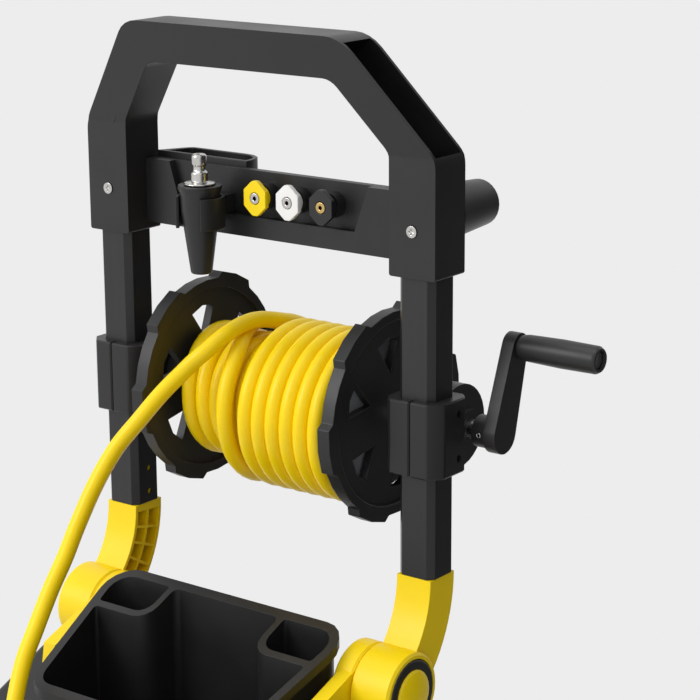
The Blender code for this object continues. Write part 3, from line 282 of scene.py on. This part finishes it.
HOSE_R = 7.0 * MM
BEVEL_STEPS = 6                         # roundness of the hose's section
POINTS_PER_TURN = 44
SWAY, SWELL = 0.5, 0.3                  # unevenness of the winding, along the reel and outward
COIL_Y, COIL_Z = 33.5, 105.5            # middle of the wound hose, in the layout's frame
PITCH = 14.3                            # from one turn of the hose to the next
INNER_R, OUTER_R = 48.2, 64.5           # centre line of the lower and upper layer
# Free run of the hose: off the top of the coil, forward and down to the floor
LEAVING = [(-27.6, 29.4, 174), (-30, 19, 175.3), (-31.3, 9, 175), (-32.3, -2, 173.4)]
ROUTE = [
    (-32.9, -14.8, 170.3), (-36.5, -25.3, 164.5), (-42, -33.2, 157), (-49.3, -39.8, 148.8),
    (-55.3, -47.2, 140), (-61, -57, 130.5), (-66.5, -67, 120), (-73, -79, 106),
    (-85, -96, 83), (-92, -114, 56), (-96, -132, 26), (-95, -150, 2), (-96, -166, -20),
    (-97, -185, -50), (-95, -201, -71), (-88, -219, -97), (-84, -231, -130),
    (-84, -238, -175), (-87, -243, -230), (-91, -248, -290), (-95, -253, -345),
    (-98, -261, -390), (-97, -280, -428), (-86, -305, -452), (-62, -325, -462.0),
    (-30, -337, -462.6), (8, -343, -462.6), (48, -340, -462.6), (86, -328, -462.6),
    (118, -310, -462.6)]


def smooth_line(points, per_span=10):
    """Points on a smooth curve through the given ones."""
    chain = [2 * points[0] - points[1], *points, 2 * points[-1] - points[-2]]
    line = []
    for a, b, c, d in zip(chain, chain[1:], chain[2:], chain[3:]):
        for k in range(per_span):
            t = k / per_span
            line.append(0.5 * (2 * b + (c - a) * t + (2 * a - 5 * b + 4 * c - d) * t ** 2
                               + (3 * b - a - 3 * c + d) * t ** 3))
    line.append(points[-1])
    return line


def tube(name, line):
    """A round hose along a line, as a curve."""
    curve = bpy.data.curves.new(name, "CURVE")
    curve.dimensions = "3D"
    curve.bevel_depth = HOSE_R
    curve.bevel_resolution = BEVEL_STEPS
    curve.use_fill_caps = True
    spline = curve.splines.new("POLY")
    spline.points.add(len(line) - 1)
    for point, place in zip(spline.points, line):
        point.co = (*place, 1)
    spline.use_smooth = True
    return link(name, curve)


def on_reel(x, radius, turn):
    """A place on the winding; turn is in whole turns from the back, over the top, forward."""
    angle = turn * math.tau
    return at(x, COIL_Y + radius * math.cos(angle), COIL_Z + radius * math.sin(angle))


def winding():
    """The wound hose: a lower layer to the right, an upper one back, and the crossing."""
    # Each stop is a turn count, a place along the reel and a radius
    stops = [(0.0, -80, INNER_R), (0.25, -81.5, INNER_R + 3), (0.5, -75, INNER_R),
             (1.0, -70, INNER_R), (1.25, -67, INNER_R + 1), (1.5, -60, INNER_R)]
    turn, column = 1.5, -60
    while column + PITCH < 70:
        turn += 1
        column += PITCH
        stops.append((turn, column, INNER_R))
    # Up at the right flange, on to the upper layer
    turn = math.floor(turn) + 1
    stops.append((turn - 0.25, 74.5, INNER_R + 0.5))
    stops.append((turn, 76, INNER_R + 8))
    column = 69.5
    while column > -14:
        stops.append((turn + 0.25, column + 2, OUTER_R))
        stops.append((turn + 0.5, column, OUTER_R))
        stops.append((turn + 0.75, column - 4, OUTER_R))
        turn += 1
        column -= PITCH
    # The last turn swings left over the top, comes back in front, and is crossed behind
    for where, x, radius in (
            (0.00, -28, OUTER_R), (0.14, -40, OUTER_R), (0.24, -43.5, OUTER_R - 0.5),
            (0.30, -38.5, OUTER_R - 3), (0.35, -29.5, OUTER_R - 1), (0.40, -25.4, OUTER_R),
            (0.50, -24.6, OUTER_R), (0.75, -27, OUTER_R), (0.82, -26.8, 73.2),
            (0.90, -26.3, 77.5), (1.00, -25, 78.8), (1.06, -24.4, 76.5), (1.11, -23.8, 71.5),
            (1.17, -23.2, 66.6), (1.22, -23, 65.6)):
        stops.append((turn + where, x, radius))
    places = []
    for before, start, end, after in zip(
            [stops[0]] + stops, stops, stops[1:], stops[2:] + [stops[-1]]):
        count = max(2, round((end[0] - start[0]) * POINTS_PER_TURN))
        for k in range(count):
            t = k / count
            x, radius = (hermite(before, start, end, after, t, i) for i in (1, 2))
            where = start[0] + (end[0] - start[0]) * t
            sway = SWAY * noise.noise((where * 0.9, x * 0.03, radius * 0.1))
            swell = SWELL * noise.noise((where * 1.3, 7, x * 0.02))
            places.append(on_reel(x + sway, radius + swell, where))
    places.append(on_reel(stops[-1][1], stops[-1][2], stops[-1][0]))
    return places


def hermite(before, start, end, after, t, i):
    """Value i between two stops, with slopes that flatten where the stops turn back."""
    def slope(a, b, c):
        left = (b[i] - a[i]) / (b[0] - a[0]) if b[0] > a[0] else 0
        right = (c[i] - b[i]) / (c[0] - b[0]) if c[0] > b[0] else 0
        if left * right <= 0:
            return 0
        return 2 * left * right / (left + right)
    span = end[0] - start[0]
    m0, m1 = slope(before, start, end) * span, slope(start, end, after) * span
    return ((2 * t ** 3 - 3 * t ** 2 + 1) * start[i] + (t ** 3 - 2 * t ** 2 + t) * m0
            + (3 * t ** 2 - 2 * t ** 3) * end[i] + (t ** 3 - t ** 2) * m1)


def wound_hose(line):
    coil = tube("hose_wound", line)
    paint(coil, "hose_coil")
    put_in_place(coil, "hose_coil")
    return coil


def loose_hose(line):
    """The free hose: a still mesh, curved along the line from the coil down to its foot, seen
    instead of the CAD hose run.
    """
    path = tube("hose_path", line)
    free = link("hose_free", evaluated(path))
    bpy.data.objects.remove(path)
    paint(free, "hose_run")
    free.data.shade_smooth()
    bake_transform(free)
    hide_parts("hose_run")
    return free


coil_line = winding()
coil = wound_hose(coil_line)
# The free hose starts inside the end of the wound one
free_line = smooth_line(
    [coil_line[-3], coil_line[-1]] + [at(*place) for place in LEAVING + ROUTE])
free_hose = loose_hose(free_line)


# ---------------------------------------------------------------- every other node, refined

for node in sorted(NODES):
    if node not in ("hose_coil", "hose_run"):
        refined(node)


# ---------------------------------------------------------------- floor and light

BACKDROP, SHADE = 0.846, 0.03           # brightness of the surround, and of the dark flag
FLAG = Vector((0.90, 0.40, -0.15)).normalized()
FLAG_EDGE, FLAG_MIDDLE = 0.30, 0.85     # the flag darkens between these closenesses to FLAG
FLOOR_RADIUS = 0.66
# Each lamp: its name, place, power in watts and width in metres
LAMPS = (
    ("key", (-1400, -2300, 1500), 38, 1.5),
    ("top", (-300, -300, 2600), 16, 1.6))


def backdrop():
    """Studio surround: pale all round, with a dark flag behind on the right."""
    world = bpy.data.worlds.new("studio")
    bpy.context.scene.world = world
    world.use_nodes = True
    tree = world.node_tree
    place = shader_node(tree, "ShaderNodeTexCoord")
    along = shader_node(tree, "ShaderNodeVectorMath", operation="DOT_PRODUCT")
    along.inputs[1].default_value = FLAG
    tree.links.new(place.outputs["Generated"], along.inputs[0])
    level = shader_node(tree, "ShaderNodeMapRange", interpolation_type="SMOOTHSTEP")
    level.inputs["From Min"].default_value = FLAG_EDGE
    level.inputs["From Max"].default_value = FLAG_MIDDLE
    level.inputs["To Min"].default_value = BACKDROP
    level.inputs["To Max"].default_value = SHADE
    tree.links.new(along.outputs["Value"], level.inputs["Value"])
    tree.links.new(level.outputs["Result"], tree.nodes["Background"].inputs["Strength"])
    tree.nodes["Background"].inputs["Color"].default_value = (1, 1, 1, 1)


def floor_and_light():
    """A round pale floor under the object, the backdrop, and soft lamps."""
    bm = bmesh.new()
    bmesh.ops.create_circle(bm, cap_ends=True, radius=FLOOR_RADIUS, segments=96)
    mesh = bpy.data.meshes.new("floor")
    bm.to_mesh(mesh)
    bm.free()
    ground = link("floor", mesh)
    ground.location = (ORIGIN.x, ORIGIN.y - 0.06, 0)
    matte = bpy.data.materials.new("pale_floor")
    matte.use_nodes = True
    shader = matte.node_tree.nodes["Principled BSDF"]
    shader.inputs["Base Color"].default_value = (0.80, 0.80, 0.80, 1)
    shader.inputs["Roughness"].default_value = 0.95
    shader.inputs["Specular IOR Level"].default_value = 0.05
    mesh.materials.append(matte)
    backdrop()
    target = at(0, 0, 60)
    for name, place, power, size in LAMPS:
        data = bpy.data.lights.new(name, "AREA")
        data.energy = power
        data.size = size
        lamp = link(name, data)
        lamp.location = at(*place)
        lamp.rotation_euler = (target - lamp.location).to_track_quat("-Z", "Y").to_euler()
    bpy.context.scene.view_settings.view_transform = "Standard"


floor_and_light()
